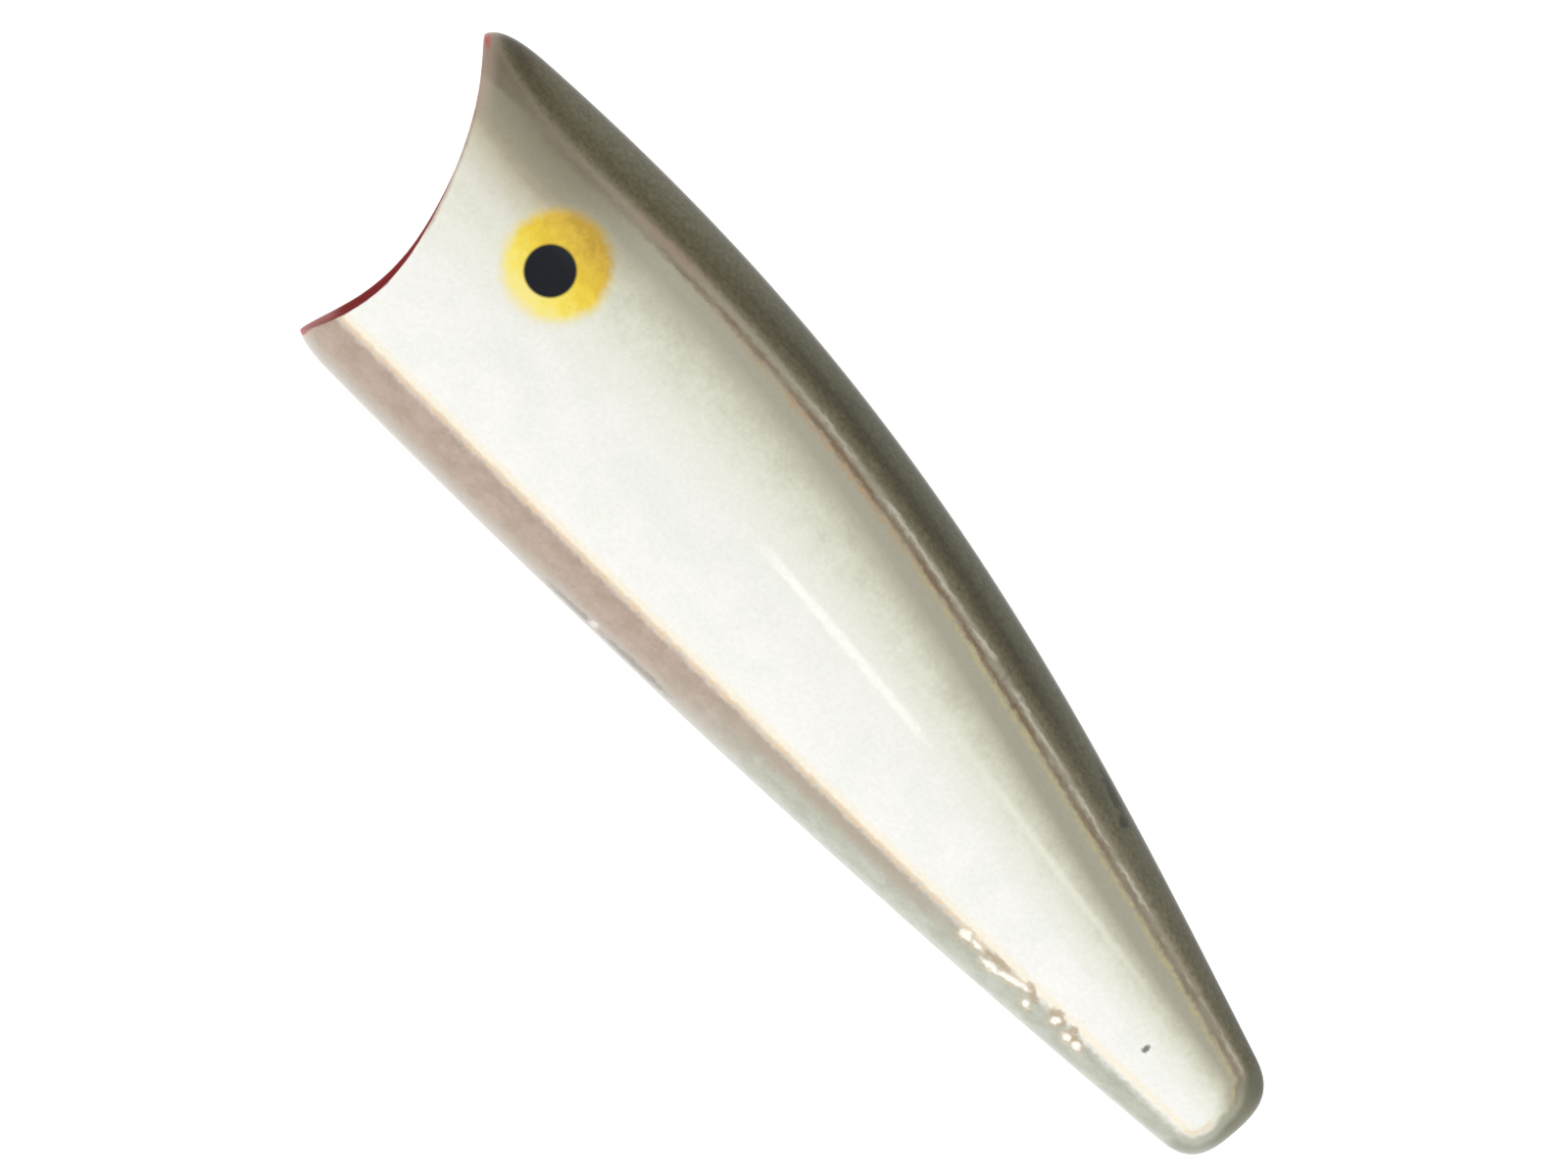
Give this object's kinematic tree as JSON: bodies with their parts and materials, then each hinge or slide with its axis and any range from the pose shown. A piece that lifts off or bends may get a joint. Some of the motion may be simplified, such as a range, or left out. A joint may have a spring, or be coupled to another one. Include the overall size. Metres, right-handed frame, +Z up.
{
  "type": "fishing lure",
  "caption": "Bare popper lure body with a cupped mouth, painted eyes, dark back and pale flanks, tapering to a blunt tail.",
  "frame": {"origin": "on the surface the body lies on, under the middle of its bounding box", "axes": "+X from the mouth to the tail, +Y from the belly to the back, +Z up through the upper flank, the lure's left side"},
  "size_m": [0.0824, 0.0242, 0.0163],
  "materials": {
    "lure_paint": "airbrushed paint under a glossy clear coat, olive grey back, pearl white flanks, pinkish belly, red mouth, yellow eyes with black pupils"
  },
  "bodies": {
    "root": {"lure_body": "lure_paint"}
  },
  "joints": []
}
